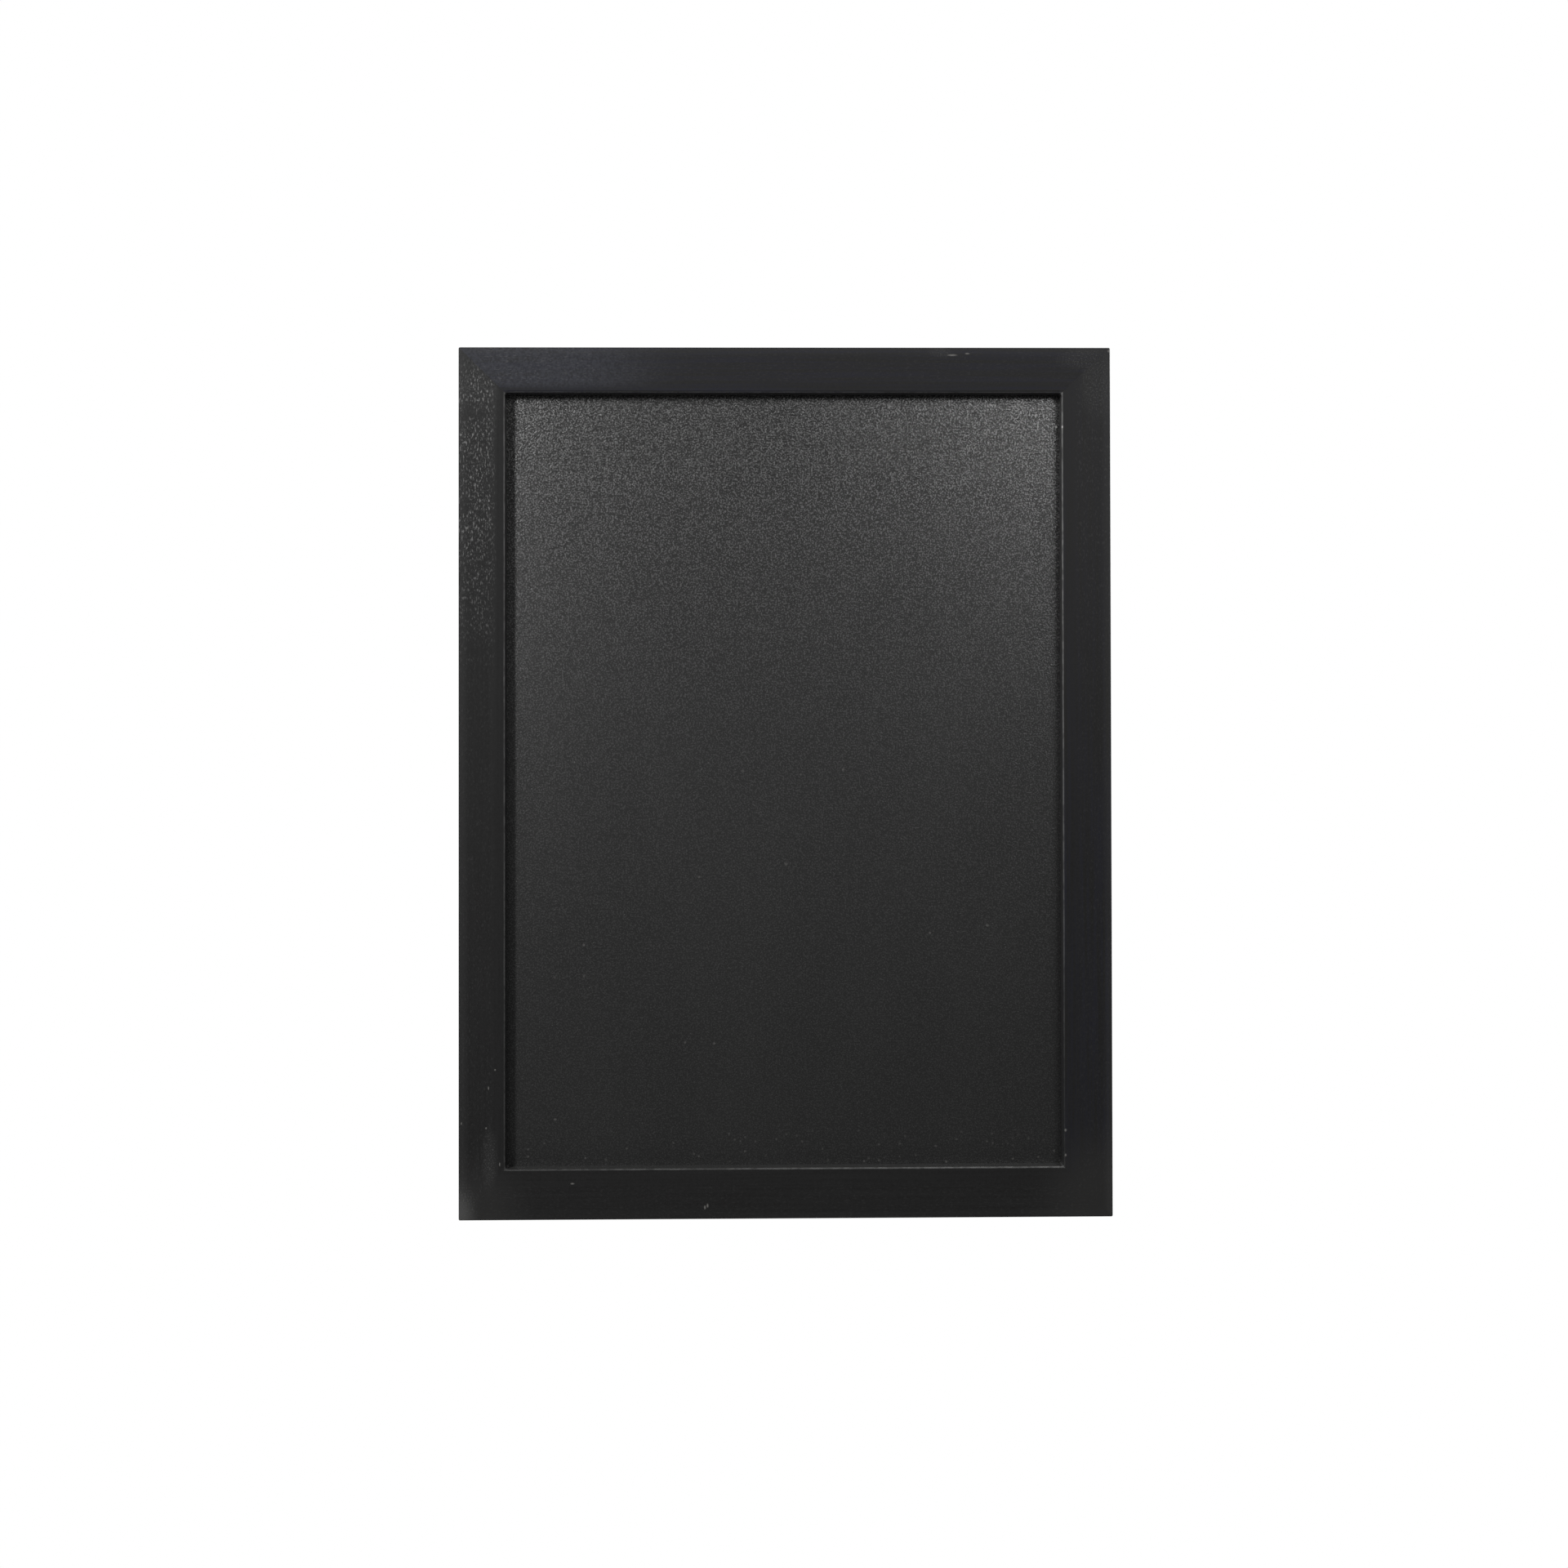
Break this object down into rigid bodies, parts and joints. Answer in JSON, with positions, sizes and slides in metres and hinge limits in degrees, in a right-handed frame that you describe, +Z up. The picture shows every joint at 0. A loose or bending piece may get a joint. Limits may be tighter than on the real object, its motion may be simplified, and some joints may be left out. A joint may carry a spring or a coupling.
{
  "type": "wall chalkboard",
  "caption": "Upright wall chalkboard: mitred black wooden frame round a pebbled black writing panel, held in by turn buttons at the back and hung on wire rings.",
  "frame": {"origin": "centre of the board's bounding box: mid width, mid height, and midway between the frame's face and the backs of the wall pads", "axes": "+Z up along the long side, +Y from the writing face into the wall, +X to the right as seen from the front"},
  "size_m": [0.3, 0.0228, 0.4],
  "materials": {
    "frame_lacquer": "satin black lacquer over open-pored wood",
    "chalk_surface": "semi-matt black laminate with a fine pebble grain",
    "fibreboard": "raw fibreboard",
    "backing_laminate": "matt dark backing laminate",
    "nail_steel": "bare strip steel",
    "button_steel": "stamped, plated steel",
    "screw_zinc": "bright zinc plate",
    "strap_steel": "folded, nickel plated strip",
    "ring_wire": "nickel plated wire",
    "pad_rubber": "matt black rubber"
  },
  "bodies": {
    "board": {"rail_top": "frame_lacquer", "rail_right": "frame_lacquer", "rail_bottom": "frame_lacquer", "rail_left": "frame_lacquer", "writing_sheet": "chalk_surface", "panel_core": "fibreboard", "backing_sheet": "backing_laminate", "corner_nail_top_left_outer": "nail_steel", "corner_nail_top_left_inner": "nail_steel", "corner_nail_top_right_outer": "nail_steel", "corner_nail_top_right_inner": "nail_steel", "corner_nail_bottom_right_outer": "nail_steel", "corner_nail_bottom_right_inner": "nail_steel", "corner_nail_bottom_left_outer": "nail_steel", "corner_nail_bottom_left_inner": "nail_steel", "button_screw_top": "screw_zinc", "button_screw_bottom": "screw_zinc", "button_screw_left_upper": "screw_zinc", "button_screw_left_lower": "screw_zinc", "button_screw_right_upper": "screw_zinc", "button_screw_right_lower": "screw_zinc", "hanger_strap_left": "strap_steel", "hanger_strap_right": "strap_steel", "hanger_screw_left": "screw_zinc", "hanger_screw_right": "screw_zinc", "wall_pad_left": "pad_rubber", "wall_pad_right": "pad_rubber"},
    "ring_left": {"hanging_ring_left": "ring_wire"},
    "ring_right": {"hanging_ring_right": "ring_wire"},
    "button_top": {"turn_button_top": "button_steel"},
    "button_bottom": {"turn_button_bottom": "button_steel"},
    "button_left_upper": {"turn_button_left_upper": "button_steel"},
    "button_left_lower": {"turn_button_left_lower": "button_steel"},
    "button_right_upper": {"turn_button_right_upper": "button_steel"},
    "button_right_lower": {"turn_button_right_lower": "button_steel"}
  },
  "joints": [
    {"name": "ring_left_fold", "type": "hinge", "parent": "board", "child": "ring_left", "pos_m": [-0.142, 0.00875, 0.067], "axis": [-1, 0, 0], "range_deg": [0, 178]},
    {"name": "ring_right_fold", "type": "hinge", "parent": "board", "child": "ring_right", "pos_m": [0.142, 0.00875, 0.067], "axis": [-1, 0, 0], "range_deg": [0, 178]},
    {"name": "button_top_turn", "type": "hinge", "parent": "board", "child": "button_top", "pos_m": [0, 0.0073, 0.192], "axis": [0, 1, 0], "continuous": true},
    {"name": "button_bottom_turn", "type": "hinge", "parent": "board", "child": "button_bottom", "pos_m": [0, 0.0073, -0.192], "axis": [0, 1, 0], "continuous": true},
    {"name": "button_left_upper_turn", "type": "hinge", "parent": "board", "child": "button_left_upper", "pos_m": [-0.142, 0.0073, 0.12], "axis": [0, 1, 0], "continuous": true},
    {"name": "button_left_lower_turn", "type": "hinge", "parent": "board", "child": "button_left_lower", "pos_m": [-0.142, 0.0073, -0.12], "axis": [0, 1, 0], "continuous": true},
    {"name": "button_right_upper_turn", "type": "hinge", "parent": "board", "child": "button_right_upper", "pos_m": [0.142, 0.0073, 0.12], "axis": [0, 1, 0], "continuous": true},
    {"name": "button_right_lower_turn", "type": "hinge", "parent": "board", "child": "button_right_lower", "pos_m": [0.142, 0.0073, -0.12], "axis": [0, 1, 0], "continuous": true}
  ]
}
